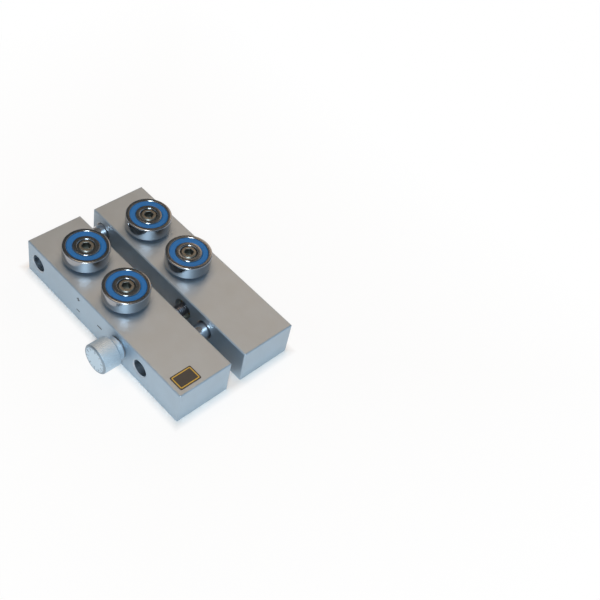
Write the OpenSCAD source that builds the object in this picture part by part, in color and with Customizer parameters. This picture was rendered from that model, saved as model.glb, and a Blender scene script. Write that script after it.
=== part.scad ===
// Pin straightener for dual-in-line chips. Two blocks slide together on guide rods, a knob and
// a fine screw set the space between them, and four ball-bearing rollers press the pins straight.
// Origin: centre of the front block's underside. X runs along the blocks, Y from the knob side
// to the back, Z up. Lengths are millimetres.

/* [Blocks] */
// Length of both blocks
block_length = 110; // [100:1:130]
// Width of each block, across the jaws
block_width = 29.2; // [28:0.1:36]
// Height of both blocks
block_height = 18.7; // [18:0.1:24]
// Chamfer on the top edges and the upright corners
block_chamfer = 0.5; // [0.3:0.1:1.5]
// Chamfer round the underside
base_chamfer = 0.3; // [0.2:0.1:1]
// Gap between the blocks as the knob has been left
jaw_gap = 7.7; // [5:0.1:9]
// Gap that is left when the jaws are screwed shut
closed_gap = 0.2; // [0.1:0.1:1]
// Travel from the photographed gap to wide open
opening_travel = 2.3; // [1:0.1:3]
// Height of the guide rods and the spindle above the underside
axis_height = 9.8; // [8.8:0.1:10.6]

/* [Rollers] */
// Distance from the left ends to the first pair of rollers
first_roller = 24; // [20:0.5:26]
// Distance between the two pairs
roller_pitch = 29.5; // [25:0.5:32]
// Distance from a jaw's inner face to its rollers' axis
roller_inset = 14.1; // [12.5:0.1:15]
// Bore of a roller bearing
bearing_bore = 8; // [7:0.5:8.5]
// Outside diameter of a roller bearing
bearing_od = 22; // [21.5:0.1:24]
// Width of a roller bearing
bearing_width = 7; // [6.8:0.1:8]
// Diameter of the circle that the balls run on
ball_circle = 15; // [14.8:0.1:15.3]
// Ball diameter
ball_d = 3.969; // [3.6:0.05:4.1]
// Balls in each bearing
ball_count = 7; // [5:1:8]
// Diameter of the inner ring's shoulder, where the seal's lip runs
inner_shoulder_d = 12.5; // [12.2:0.1:12.8]
// Diameter of the recess in the outer ring that holds a seal
seal_seat_d = 18.3; // [18:0.1:19]
// Diameter of the outer ring's shoulder beside the balls
outer_shoulder_d = 17.5; // [17.2:0.1:17.8]
// Rounding of the outer ring's rim
rim_round = 0.6; // [0.2:0.1:1]
// Thickness of a rubber seal
seal_t = 0.75; // [0.5:0.05:0.8]
// Step from a bearing's face down to its seal
seal_step = 0.15; // [0.05:0.05:0.2]
// Thickness of the spacer between block and inner ring
spacer_t = 1.4; // [0.8:0.1:2]
// Outside diameter of the spacer
spacer_od = 11.4; // [10:0.1:12]
// Thread diameter of the shank that screws into the block
shank_d = 6; // [4:0.5:6.5]
// Length of the shank
shank_length = 12; // [8:0.5:14]
// Width across flats of an axle's socket
axle_socket = 4; // [3:0.5:4.5]

/* [Guides] */
// Distance from the left ends to the left rod
left_rod_at = 8; // [7.5:0.1:10]
// Distance from the left ends to the right rod
right_rod_at = 83.3; // [80.5:0.1:88]
// Diameter of the guide rods
rod_d = 8; // [6:0.5:8.5]
// Length of rod held in the back block
rod_socket_depth = 20; // [14:0.5:24]
// Wall of the guide bushes
guide_bush_wall = 1; // [0.6:0.1:1.2]
// Length of the guide bushes
guide_bush_length = 14; // [8:0.5:16]
// Bevel round the rods where they enter the back block
rod_bevel = 1; // [0.3:0.1:1.2]
// Bevel of the open bores in the front face
bore_bevel = 0.5; // [0.2:0.1:0.9]
// Diameter of the screws that lock the rods
rod_screw_d = 4; // [3:0.5:5]

/* [Spindle and knob] */
// Distance from the left ends to the spindle
spindle_at = 68.2; // [67:0.1:70]
// Thread diameter of the spindle
spindle_d = 6; // [5:0.5:6.5]
// Pitch of its thread
spindle_pitch = 1; // [0.75:0.25:1.25]
// Diameter of the spindle's thrust shoulder
shoulder_d = 10; // [8.5:0.5:11]
// Length of the thrust shoulder
shoulder_length = 3; // [2:0.5:4]
// Outside diameter of the spindle nut
nut_od = 10; // [9:0.5:11]
// Length of the spindle nut
nut_length = 10; // [6:0.5:11]
// Depth of the recess in front of the nut
nut_recess = 3; // [1:0.5:4]
// Length of the spindle's bush in the front block
spindle_bush_length = 9; // [6:0.5:12]
// Wall of that bush
spindle_bush_wall = 1.5; // [0.8:0.1:1.6]
// Width of its flange beyond the sleeve
flange_width = 0.7; // [0.4:0.1:0.8]
// Thickness of its flange
flange_t = 1; // [0.5:0.1:1.5]
// Thickness of the washer behind the knob
front_washer_t = 0.5; // [0.3:0.1:1]
// Thickness of the washer in front of the shoulder
rear_washer_t = 0.8; // [0.5:0.1:1]
// Diameter of the knob over its knurl
knob_d = 14.7; // [14:0.1:17]
// Length of the knurled part
knob_length = 9.2; // [8:0.1:14]
// Chamfer at both ends of the knurl
knob_chamfer = 0.6; // [0.3:0.1:1]
// Diameter of the smooth neck behind the knurl
neck_d = 11.2; // [10:0.1:12]
// Length of that neck
neck_length = 2.85; // [1:0.05:4]
// Grooves in the knurl
knurl_count = 48; // [30:2:60]
// Depth of a groove
knurl_depth = 0.2; // [0.1:0.02:0.4]
// Diameter of the screw that locks the knob
knob_screw_d = 3; // [2:0.5:4]

/* [Marks] */
// Length of the index line beside the knob
index_length = 3.2; // [2:0.1:4]
// Height of the index line's stroke
index_stroke = 0.8; // [0.3:0.1:1]
// Distance from the knob's rim to the index line
index_gap = 4.4; // [2:0.1:6]
// Length of the foil label along X
label_x = 8; // [5:0.5:12]
// Length of the foil label along Y
label_y = 11.5; // [8:0.5:16]
// Distance from the label to the block's right end and front edge
label_edge = 2.4; // [1.6:0.1:4]

/* [Hidden] */
$fn = 64;
// Cuts reach this far past the faces that they break through
overrun = 1;
// Radial clearance of a running fit
running_gap = 0.02;
// Radial clearance between pieces that are pressed or screwed together
seat_gap = 0.02;
// End float of the turning pieces
end_float = 0.05;
// Clearance between the balls, their cage and the tracks
ball_gap = 0.04;
// Clearance of the seal's lip and of the cage beside it
lip_gap = 0.1;
// Clearance of the loose bores round the rods and the spindle
loose_gap = 0.2;
// Steps in a quarter of a rounded rim
round_steps = 6;
// Small chamfer of turned pieces and of drilled mouths, and of thin washers
edge_break = 0.3;
washer_edge = 0.15;
// Turned chamfer at the ends of rods and screws
end_chamfer = 0.5;
// Depth of engraved strokes
engrave_depth = 0.15;
// Thickness of the foil label and the radius of its corners
label_t = 0.12;
label_round = 0.8;
// Room left behind the rods, the spindle and the shanks at the ends of their holes
hole_margin = 1.2;
// Depth of hex sockets as a share of their width across flats
socket_depth_share = 0.8;
// Depth of a thread's groove as a share of the pitch, and its flats as shares of the pitch
thread_depth_share = 0.54;
thread_flat_share = 0.125;
thread_slope_share = 0.31;
// Length of a locking screw as a share of the room between its rod and the surface
screw_length_share = 0.88;
// Width across flats of a locking screw's socket as a share of its diameter
screw_socket_share = 0.5;
// How far below the inner ring's face the axle ends
axle_below = 0.1;
axle_chamfer = 0.7;
// Lip of a seal: where its thin edge starts and ends, as shares of the seal's thickness
lip_start_share = 0.45;
lip_end_share = 0.85;
// Raised bead near a seal's outer edge: its foot and its flat top, and its height
bead_foot = 0.45;
bead_top = 0.15;
bead_h = 0.1;
// Radial width of a cage as a share of the room between the shoulders
cage_width_share = 0.62;
// Height of a cage's fingers beside the balls as a share of the ball's radius
cage_finger_share = 0.6;
// Depth of the knob's blind bore as a share of the knurled length
knob_bore_share = 0.67;
// Ratio of a hexagon's corner circle to its flats
hex_ratio = 1 / cos(30);

front_y = -block_width / 2;
inner_y = block_width / 2;
back_y = inner_y + jaw_gap;
left_x = -block_length / 2;
right_x = block_length / 2;
closing_travel = jaw_gap - closed_gap;

rod_r = rod_d / 2;
left_rod_x = left_x + left_rod_at;
right_rod_x = left_x + right_rod_at;
rod_front_y = front_y + closing_travel + hole_margin;
rod_back_y = back_y + rod_socket_depth;
guide_bush_r = rod_r + running_gap + guide_bush_wall;
guide_bush_front_y = inner_y - edge_break - guide_bush_length;

spindle_x = left_x + spindle_at;
spindle_r = spindle_d / 2;
shoulder_r = shoulder_d / 2;
nut_r = nut_od / 2;
sleeve_r = spindle_r + running_gap + spindle_bush_wall;
flange_r = sleeve_r + flange_width;
neck_r = neck_d / 2;
knob_r = knob_d / 2;
neck_back_y = front_y - front_washer_t - end_float;
knurl_back_y = neck_back_y - neck_length;
knob_face_y = knurl_back_y - knob_length;
knob_bore_y = knurl_back_y - knob_length * knob_bore_share;
shoulder_pocket = rear_washer_t + end_float + shoulder_length + end_chamfer;
shoulder_front_y = inner_y - shoulder_pocket + rear_washer_t + end_float;
spindle_end_y = back_y + nut_recess + nut_length + opening_travel;
knob_screw_y = (knurl_back_y + knob_face_y) / 2;

roller_xs = [left_x + first_roller, left_x + first_roller + roller_pitch];
front_roller_y = inner_y - roller_inset;
back_roller_y = back_y + roller_inset;
bore_r = bearing_bore / 2;
bearing_r = bearing_od / 2;
ball_r = ball_d / 2;
track_r = ball_circle / 2;
inner_shoulder_r = inner_shoulder_d / 2;
outer_shoulder_r = outer_shoulder_d / 2;
seal_seat_r = seal_seat_d / 2;
shank_r = shank_d / 2;
shoulder_room = outer_shoulder_r - inner_shoulder_r;
cage_mid_r = (outer_shoulder_r + inner_shoulder_r) / 2;
cage_half_w = shoulder_room * cage_width_share / 2;
cage_top = bearing_width / 2 - seal_step - seal_t - lip_gap;

// The four rollers, each with its centre, and the pieces that each is made of
ROLLERS = [
    ["front_left", [roller_xs[0], front_roller_y]],
    ["front_right", [roller_xs[1], front_roller_y]],
    ["back_left", [roller_xs[0], back_roller_y]],
    ["back_right", [roller_xs[1], back_roller_y]]
];
PIECES = ["axle", "spacer", "inner_ring", "outer_ring", "balls", "cage", "seal_top", "seal_bottom"];

aluminium = [0.66, 0.66, 0.66];
knob_silver = [0.68, 0.74, 0.80];
rod_steel = [0.80, 0.82, 0.85];
bearing_steel = [0.50, 0.50, 0.51];
black_steel = [0.16, 0.16, 0.17];
bronze = [0.66, 0.50, 0.30];
brass = [0.78, 0.65, 0.35];
seal_blue = [0.16, 0.40, 0.70];
cage_steel = [0.60, 0.60, 0.58];
label_dark = [0.20, 0.19, 0.17];

// Points of a rectangle from the origin with its four corners cut, the lower two by low
function cut_corners(a, b, low, high) = [
    [low, 0], [a - low, 0], [a, low], [a, b - high],
    [a - high, b], [high, b], [0, b - high], [0, low]
];

// Points of a quarter circle about a centre, from one angle on
function quarter(centre, radius, start) = [
    for (i = [0 : round_steps])
        let (turn = start + 90 * i / round_steps)
        centre + radius * [cos(turn), sin(turn)]
];

// Half section of a turned bar with a chamfer at both ends, as radius and height
function bar_profile(radius, length, cut) = [
    [0, 0], [radius - cut, 0], [radius, cut],
    [radius, length - cut], [radius - cut, length], [0, length]
];

// Half section of a turned tube with its outer edges cut
function tube_profile(inner, outer, length, cut) = [
    [inner, 0], [outer - cut, 0], [outer, cut],
    [outer, length - cut], [outer - cut, length], [inner, length]
];

// Turns a half section about an axis along Y that starts at from_y
module turned_y(at_x, from_y) {
    translate([at_x, from_y, axis_height])
        rotate([-90, 0, 0])
            rotate_extrude()
                children();
}

// Straight hole along Y
module hole_y(at_x, from_y, to_y, radius) {
    translate([at_x, from_y, axis_height])
        rotate([-90, 0, 0])
            cylinder(h = to_y - from_y, r = radius);
}

// Bevel at the mouth of a hole that runs back from face_y
module bevel_y(at_x, face_y, radius, cut) {
    translate([at_x, face_y, axis_height])
        rotate([-90, 0, 0])
            translate([0, 0, -overrun])
                cylinder(h = cut + overrun, r1 = radius + cut + overrun, r2 = radius);
}

// Blank of one jaw, standing on its underside
module block_blank(from_y) {
    translate([left_x, from_y, 0])
        intersection() {
            linear_extrude(height = block_height)
                polygon(cut_corners(block_length, block_width, block_chamfer, block_chamfer));
            translate([0, block_width, 0])
                rotate([90, 0, 0])
                    linear_extrude(height = block_width)
                        polygon(cut_corners(block_length, block_height, base_chamfer, block_chamfer));
            rotate([90, 0, 90])
                linear_extrude(height = block_length)
                    polygon(cut_corners(block_width, block_height, base_chamfer, block_chamfer));
        }
}

// Tapped holes for one jaw's two roller axles
module axle_holes(at_y) {
    for (x = roller_xs)
        translate([x, at_y, block_height]) {
            translate([0, 0, -shank_length - hole_margin])
                cylinder(h = shank_length + hole_margin + overrun, r = shank_r + seat_gap);
            translate([0, 0, -edge_break])
                cylinder(
                    h = edge_break + overrun,
                    r1 = shank_r + seat_gap,
                    r2 = shank_r + seat_gap + edge_break + overrun
                );
        }
}

module front_block() {
    color(aluminium)
        difference() {
            block_blank(front_y);
            axle_holes(front_roller_y);
            for (x = [left_rod_x, right_rod_x]) {
                hole_y(x, front_y - overrun, inner_y, rod_r + loose_gap);
                hole_y(x, guide_bush_front_y, inner_y + overrun, guide_bush_r + seat_gap);
                bevel_y(x, front_y, rod_r + loose_gap, bore_bevel);
            }
            hole_y(spindle_x, front_y - overrun, inner_y, spindle_r + loose_gap);
            hole_y(spindle_x, front_y - overrun, front_y + flange_t, flange_r + seat_gap);
            hole_y(spindle_x, front_y, front_y + spindle_bush_length, sleeve_r + seat_gap);
            hole_y(spindle_x, inner_y - shoulder_pocket, inner_y + overrun, shoulder_r + 2 * loose_gap);
            translate([
                spindle_x - knob_r - index_gap - index_length,
                front_y - overrun,
                axis_height - index_stroke / 2
            ])
                cube([index_length, engrave_depth + overrun, index_stroke]);
        }
}

module back_block() {
    color(aluminium)
        difference() {
            block_blank(back_y);
            axle_holes(back_roller_y);
            for (x = [left_rod_x, right_rod_x]) {
                hole_y(x, back_y - overrun, rod_back_y, rod_r + seat_gap);
                bevel_y(x, back_y, rod_r + seat_gap, rod_bevel);
                translate([x, back_y + rod_socket_depth / 2, -overrun])
                    cylinder(h = axis_height + overrun, r = rod_screw_d / 2 + seat_gap);
            }
            hole_y(spindle_x, back_y - overrun, back_y + nut_recess + nut_length, nut_r + seat_gap);
            hole_y(
                spindle_x, back_y, spindle_end_y + closing_travel + hole_margin,
                spindle_r + loose_gap
            );
            bevel_y(spindle_x, back_y, nut_r + seat_gap, edge_break);
        }
}

module guide_rod(at_x) {
    color(rod_steel)
        turned_y(at_x, rod_front_y)
            polygon(bar_profile(rod_r, rod_back_y - rod_front_y, end_chamfer));
}

module guide_bush(at_x) {
    color(bronze)
        turned_y(at_x, guide_bush_front_y)
            polygon(tube_profile(rod_r + running_gap, guide_bush_r, guide_bush_length, edge_break));
}

// Headless locking screw, pointing up from its socket at z = 0
module grub_screw(diameter, length) {
    socket = diameter * screw_socket_share;
    depth = socket * socket_depth_share;
    difference() {
        rotate_extrude()
            polygon(bar_profile(diameter / 2, length, edge_break));
        translate([0, 0, -overrun])
            cylinder(h = depth + overrun, d = socket * hex_ratio, $fn = 6);
    }
}

// Locking screw of one guide rod, up from the back block's underside
module rod_screw(at_x) {
    room = axis_height - rod_r;
    color(black_steel)
        translate([at_x, back_y + rod_socket_depth / 2, room * (1 - screw_length_share)])
            grub_screw(rod_screw_d, room * screw_length_share - end_float);
}

// Points along the spindle's thread, one groove in each pitch, from its start height on
function thread_points(start, turns) = [
    for (i = [0 : turns - 1])
        let (z = start + i * spindle_pitch, root = spindle_r - spindle_pitch * thread_depth_share)
        for (p = [
            [spindle_r, z + spindle_pitch * thread_flat_share],
            [root, z + spindle_pitch * (thread_flat_share + thread_slope_share)],
            [root, z + spindle_pitch * (1 - thread_slope_share)],
            [spindle_r, z + spindle_pitch]
        ]) p
];

module spindle() {
    front = knob_bore_y + end_chamfer;
    shoulder_at = shoulder_front_y - front;
    thread_at = shoulder_at + shoulder_length;
    end_at = spindle_end_y - front;
    turns = floor((end_at - end_chamfer - thread_at) / spindle_pitch);
    color(black_steel)
        turned_y(spindle_x, front)
            polygon(concat(
                [
                    [0, 0], [spindle_r - end_chamfer, 0], [spindle_r, end_chamfer],
                    [spindle_r, shoulder_at],
                    [shoulder_r - edge_break, shoulder_at], [shoulder_r, shoulder_at + edge_break],
                    [shoulder_r, thread_at - edge_break], [shoulder_r - edge_break, thread_at],
                    [spindle_r, thread_at]
                ],
                thread_points(thread_at, turns),
                [[spindle_r, end_at - end_chamfer], [spindle_r - end_chamfer, end_at], [0, end_at]]
            ));
}

module spindle_nut() {
    color(brass)
        turned_y(spindle_x, back_y + nut_recess)
            polygon(tube_profile(spindle_r + running_gap, nut_r, nut_length, edge_break));
}

module spindle_bush() {
    color(bronze)
        turned_y(spindle_x, front_y)
            polygon([
                [spindle_r + running_gap, 0], [flange_r, 0], [flange_r, flange_t],
                [sleeve_r, flange_t], [sleeve_r, spindle_bush_length],
                [spindle_r + running_gap, spindle_bush_length]
            ]);
}

module thrust_washer_front() {
    color(rod_steel)
        turned_y(spindle_x, front_y - front_washer_t)
            polygon(tube_profile(
                spindle_r + running_gap, neck_r - edge_break, front_washer_t, washer_edge
            ));
}

module thrust_washer_rear() {
    color(bronze)
        turned_y(spindle_x, inner_y - shoulder_pocket)
            polygon(tube_profile(spindle_r + running_gap, shoulder_r, rear_washer_t, washer_edge));
}

// Outline across the knurl, one groove in each step
function knurl_outline() = [
    for (i = [0 : knurl_count - 1])
        let (turn = 360 / knurl_count)
        for (p = [
            knob_r * [cos(turn * i), sin(turn * i)],
            (knob_r - knurl_depth) * [cos(turn * (i + 1 / 2)), sin(turn * (i + 1 / 2))]
        ]) p
];

module knob() {
    color(knob_silver)
        difference() {
            union() {
                intersection() {
                    translate([spindle_x, knurl_back_y, axis_height])
                        rotate([90, 0, 0])
                            linear_extrude(height = knob_length)
                                polygon(knurl_outline());
                    turned_y(spindle_x, knob_face_y)
                        polygon(bar_profile(knob_r + overrun, knob_length, knob_chamfer + overrun));
                }
                hole_y(spindle_x, knurl_back_y - overrun, neck_back_y, neck_r);
            }
            hole_y(spindle_x, knob_bore_y, neck_back_y + overrun, spindle_r + seat_gap);
            translate([spindle_x, knob_screw_y, axis_height])
                mirror([0, 0, 1])
                    cylinder(h = knob_r + overrun, r = knob_screw_d / 2 + seat_gap);
        }
}

module knob_screw() {
    room = knob_r - spindle_r;
    color(black_steel)
        translate([spindle_x, knob_screw_y, axis_height - knob_r + room * (1 - screw_length_share)])
            grub_screw(knob_screw_d, room * screw_length_share - end_float);
}

// Blank foil with rounded corners near the front block's right end
module corner_label() {
    color(label_dark)
        translate([right_x - label_edge - label_x, front_y + label_edge, block_height])
            linear_extrude(height = label_t)
                polygon(concat(
                    quarter([label_x - label_round, label_y - label_round], label_round, 0),
                    quarter([label_round, label_y - label_round], label_round, 90),
                    quarter([label_round, label_round], label_round, 180),
                    quarter([label_x - label_round, label_round], label_round, 270)
                ));
}

// Screwed pin that carries one bearing, with its shoulder on the block
module axle() {
    height = spacer_t + bearing_width - axle_below;
    depth = axle_socket * socket_depth_share;
    color(black_steel)
        difference() {
            rotate_extrude()
                polygon([
                    [0, -shank_length], [shank_r - end_chamfer, -shank_length],
                    [shank_r, end_chamfer - shank_length], [shank_r, 0],
                    [bore_r - seat_gap, 0], [bore_r - seat_gap, height - axle_chamfer],
                    [bore_r - seat_gap - axle_chamfer, height], [0, height]
                ]);
            translate([0, 0, height - depth])
                cylinder(h = depth + overrun, d = axle_socket * hex_ratio, $fn = 6);
        }
}

module spacer() {
    color(bearing_steel)
        rotate_extrude()
            polygon(tube_profile(bore_r, spacer_od / 2, spacer_t, washer_edge));
}

// Bearing rings, with the ball track cut from both
module inner_ring() {
    half = bearing_width / 2;
    color(bearing_steel)
        rotate_extrude()
            difference() {
                polygon([
                    [bore_r, edge_break - half], [bore_r + edge_break, -half],
                    [inner_shoulder_r - edge_break, -half], [inner_shoulder_r, edge_break - half],
                    [inner_shoulder_r, half - edge_break], [inner_shoulder_r - edge_break, half],
                    [bore_r + edge_break, half], [bore_r, half - edge_break]
                ]);
                translate([track_r, 0])
                    circle(r = ball_r + ball_gap);
            }
}

module outer_ring() {
    half = bearing_width / 2;
    seat = half - seal_step - seal_t;
    color(bearing_steel)
        rotate_extrude()
            difference() {
                polygon(concat(
                    [
                        [outer_shoulder_r, -seat], [seal_seat_r, -seat],
                        [seal_seat_r, seal_step - half], [seal_seat_r + seal_step, -half]
                    ],
                    quarter([bearing_r - rim_round, rim_round - half], rim_round, 270),
                    quarter([bearing_r - rim_round, half - rim_round], rim_round, 0),
                    [
                        [seal_seat_r + seal_step, half], [seal_seat_r, half - seal_step],
                        [seal_seat_r, seat], [outer_shoulder_r, seat]
                    ]
                ));
                translate([track_r, 0])
                    circle(r = ball_r + ball_gap);
            }
}

module balls() {
    color(rod_steel)
        for (i = [0 : ball_count - 1])
            rotate([0, 0, 360 * i / ball_count])
                translate([track_r, 0, 0])
                    sphere(r = ball_r);
}

// Snap-in cage: a ring above the balls with fingers between them
module cage() {
    color(cage_steel)
        difference() {
            rotate_extrude()
                translate([cage_mid_r - cage_half_w, -ball_r * cage_finger_share])
                    square([cage_half_w * 2, cage_top + ball_r * cage_finger_share]);
            for (i = [0 : ball_count - 1])
                rotate([0, 0, 360 * i / ball_count])
                    translate([track_r, 0, 0])
                        sphere(r = ball_r + ball_gap);
        }
}

// Rubber seal whose outer side faces up, with a raised bead and a thin lip
module seal() {
    inner = inner_shoulder_r + lip_gap;
    outer = seal_seat_r - seat_gap;
    color(seal_blue)
        rotate_extrude()
            polygon([
                [inner, seal_t * lip_start_share], [inner + bead_foot, 0], [outer, 0],
                [outer, seal_t], [outer - bead_top, seal_t + bead_h],
                [outer - bead_top - bead_top, seal_t + bead_h], [outer - bead_foot, seal_t],
                [inner + bead_foot, seal_t], [inner, seal_t * lip_end_share]
            ]);
}

// One piece of a roller, in the roller's own place
module roller_piece(piece, at) {
    middle = bearing_width / 2;
    translate([at[0], at[1], block_height]) {
        if (piece == "axle") axle();
        if (piece == "spacer") spacer();
        translate([0, 0, spacer_t + middle]) {
            if (piece == "inner_ring") inner_ring();
            if (piece == "outer_ring") outer_ring();
            if (piece == "balls") balls();
            if (piece == "cage") cage();
            if (piece == "seal_top")
                translate([0, 0, middle - seal_step - seal_t]) seal();
            if (piece == "seal_bottom")
                mirror([0, 0, 1])
                    translate([0, 0, middle - seal_step - seal_t]) seal();
        }
    }
}

front_block();
back_block();
guide_rod(left_rod_x);  // guide_rod_left
guide_rod(right_rod_x);  // guide_rod_right
guide_bush(left_rod_x);  // guide_bush_left
guide_bush(right_rod_x);  // guide_bush_right
rod_screw(left_rod_x);  // rod_screw_left
rod_screw(right_rod_x);  // rod_screw_right
spindle();
spindle_nut();
spindle_bush();
thrust_washer_front();
thrust_washer_rear();
knob();
knob_screw();
corner_label();
for (roller = ROLLERS, piece = PIECES)
    roller_piece(piece, roller[1]);
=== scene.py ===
# %% [markdown]
# # A pin straightener for dual-in-line chips
# This lesson dresses a small bench tool: two aluminium jaws that slide together on steel rods, a
# numbered knob on a fine screw, and four ball-bearing rollers with blue seals. The construction is
# already packed as a fixed frame of named nodes, each on a body that moves. Here every piece gets
# its final surface and finish. All lengths are metres, and MM turns millimetres into them.

import math

import bmesh
import bpy
import numpy as np
from mathutils import Matrix, Vector


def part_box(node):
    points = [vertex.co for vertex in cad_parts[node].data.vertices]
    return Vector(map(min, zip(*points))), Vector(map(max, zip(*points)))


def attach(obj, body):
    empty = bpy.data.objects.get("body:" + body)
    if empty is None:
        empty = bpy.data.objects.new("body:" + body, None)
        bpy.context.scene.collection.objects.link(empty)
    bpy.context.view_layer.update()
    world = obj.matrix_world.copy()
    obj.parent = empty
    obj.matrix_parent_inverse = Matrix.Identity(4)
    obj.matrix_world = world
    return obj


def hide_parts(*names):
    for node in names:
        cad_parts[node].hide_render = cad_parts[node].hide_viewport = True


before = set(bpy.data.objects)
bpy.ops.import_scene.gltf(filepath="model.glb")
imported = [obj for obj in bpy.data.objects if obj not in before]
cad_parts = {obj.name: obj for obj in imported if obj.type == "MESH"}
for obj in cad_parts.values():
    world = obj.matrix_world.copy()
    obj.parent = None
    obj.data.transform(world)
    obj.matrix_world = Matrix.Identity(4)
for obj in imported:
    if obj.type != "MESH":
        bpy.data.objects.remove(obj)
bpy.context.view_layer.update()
scene = bpy.context.scene
MM = 0.001

# %% [markdown]
# ## The camera
# The photograph looks down on the tool from the knob side, turned a little about the line of sight.
# A camera could be placed by eye and nudged. Solving it from the corners of the blocks is surer, so
# it is given here as an azimuth, an elevation, a roll, a distance and the point that the middle of
# the picture looks at. The tool stands in the left half of the picture, because the camera was
# aimed to its right.

# %% Camera
AZIMUTH, ELEVATION, ROLL = np.radians([34.32, 47.81, 15.23])
DISTANCE = 457.5 * MM
AIM_RIGHT, AIM_UP = 67.8 * MM, 4.06 * MM
SENSOR = 36.0
FOCAL_SHARE = 1.6134
CLIP_START = 10 * MM


def place_camera():
    """Stands the camera at the aim point plus the distance along back, which points from the tool
    to the camera. Right is level and square to back, and the roll turns right and up about back."""
    back = np.array([
        math.sin(AZIMUTH) * math.cos(ELEVATION),
        -math.cos(AZIMUTH) * math.cos(ELEVATION),
        math.sin(ELEVATION),
    ])
    level = np.cross((0, 0, 1), back)
    level /= np.linalg.norm(level)
    upright = np.cross(back, level)
    right = math.cos(ROLL) * level + math.sin(ROLL) * upright
    up = math.cos(ROLL) * upright - math.sin(ROLL) * level
    middle = (np.array(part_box("front_block")[0]) + np.array(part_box("back_block")[1])) / 2
    middle[2] = 0
    place = middle + AIM_RIGHT * right + AIM_UP * up + DISTANCE * back
    data = bpy.data.cameras.new("camera")
    data.sensor_width = SENSOR
    data.lens = FOCAL_SHARE * SENSOR
    data.clip_start = CLIP_START
    camera = bpy.data.objects.new("camera", data)
    turned = Matrix(np.array([right, up, back]).T).to_4x4()
    camera.matrix_world = Matrix.Translation(place) @ turned
    scene.collection.objects.link(camera)
    scene.camera = camera
    return camera


camera = place_camera()
print("camera at, mm:", [round(x / MM, 1) for x in camera.location])
print("lens, mm:", round(camera.data.lens, 2))

# %% [markdown]
# ## Small helpers for node trees
# A material is a network of nodes. Adding nodes one by one in the editor is clear but slow, so one
# helper makes a node and fills its inputs by name, with numbers or with the sockets of other nodes.

# %% Node helpers


def feed(tree, socket, value):
    """Fills an input with a value, or links it to the socket of another node."""
    if isinstance(value, bpy.types.NodeSocket):
        tree.links.new(value, socket)
    else:
        socket.default_value = value


def add_node(tree, kind, **inputs):
    """Makes a node. An input's name has _ where the socket's name has a space."""
    made = tree.nodes.new("ShaderNode" + kind)
    for name, value in inputs.items():
        feed(tree, made.inputs[name.replace("_", " ")], value)
    return made


def calculate(tree, operation, first, second=0.0, kind="Math"):
    """Result of one sum on two numbers or sockets, or on two vectors with the kind VectorMath."""
    made = add_node(tree, kind)
    made.operation = operation
    for socket, value in zip(made.inputs, (first, second)):
        feed(tree, socket, value)
    return made.outputs["Value"]


def spread(tree, value, low, high, start=0.0, end=1.0):
    """Value carried from the range start..end to the range low..high, and held at its ends."""
    return add_node(
        tree, "MapRange", Value=value, From_Min=start, From_Max=end, To_Min=low, To_Max=high
    ).outputs[0]


def mixed(tree, factor, first, second):
    """Mix of two shader nodes: the first at factor 0, the second at factor 1."""
    made = add_node(tree, "MixShader", Fac=factor)
    feed(tree, made.inputs[1], first.outputs[0])
    feed(tree, made.inputs[2], second.outputs[0])
    return made


def ramp(tree, factor, *stops):
    """Colour ramp through stops of (position, colour)."""
    made = add_node(tree, "ValToRGB", Fac=factor)
    elements = made.color_ramp.elements
    while len(elements) < len(stops):
        elements.new(1.0)
    for element, (position, colour) in zip(elements, stops):
        element.position = position
        element.color = (*colour, 1.0)
    return made.outputs[0]


print("node helpers: feed, add_node, calculate, spread, mixed, ramp")

# %% [markdown]
# ## Floor and background
# The tool was photographed on white. A brighter lamp would wash the metal out, so the floor is made
# white where it is looked at: it gives out white light of strength 1 to camera and mirror rays,
# and stays a plain pale surface under the rest, which keeps the soft shadow. Under the tool the
# share of its own light is nothing, so the gap between the jaws stays dark. Far out it rises to 1,
# so the floor's edge melts into the white background. In mirrors the paper is dimmer at the far
# left than at the near right, because the sides of the blocks grow paler that way.

# %% Floor
FLOOR_HALF = 4.0
FLOOR_COLOUR = (0.89, 0.875, 0.85)
WHITE = (1.0, 1.0, 1.0, 1.0)
OWN_LIGHT_NEAR = 0.87
FOOT_FADE = 4 * MM
FAR_START, FAR_END = 4 * MM, 160 * MM
DIM_SHARE, BRIGHT_SHARE = 0.35, 0.93
BRIGHT_WAY = (0.8, -0.9, 0.0)
DIM_AT, BRIGHT_AT = -70 * MM, 55 * MM


def seen_rays(tree, mirrored):
    """1 for camera rays, a given share for mirror and glass rays, and 0 for the rest."""
    path = add_node(tree, "LightPath").outputs
    bounced = calculate(tree, "MAXIMUM", path["Is Glossy Ray"], path["Is Transmission Ray"])
    dimmed = calculate(tree, "MULTIPLY", bounced, mirrored)
    return calculate(tree, "MAXIMUM", path["Is Camera Ray"], dimmed)


def distance_outside(tree, place, low, high):
    """How far a point of the floor lies outside a rectangle: the larger of |x - middle| - half over
    the two axes."""
    parts = add_node(tree, "SeparateXYZ", Vector=place)
    gaps = []
    for axis, socket in enumerate(("X", "Y")):
        middle, half = (low[axis] + high[axis]) / 2, (high[axis] - low[axis]) / 2
        offset = calculate(tree, "SUBTRACT", parts.outputs[socket], middle)
        gaps.append(calculate(tree, "SUBTRACT", calculate(tree, "ABSOLUTE", offset), half))
    return calculate(tree, "MAXIMUM", *gaps)


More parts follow.
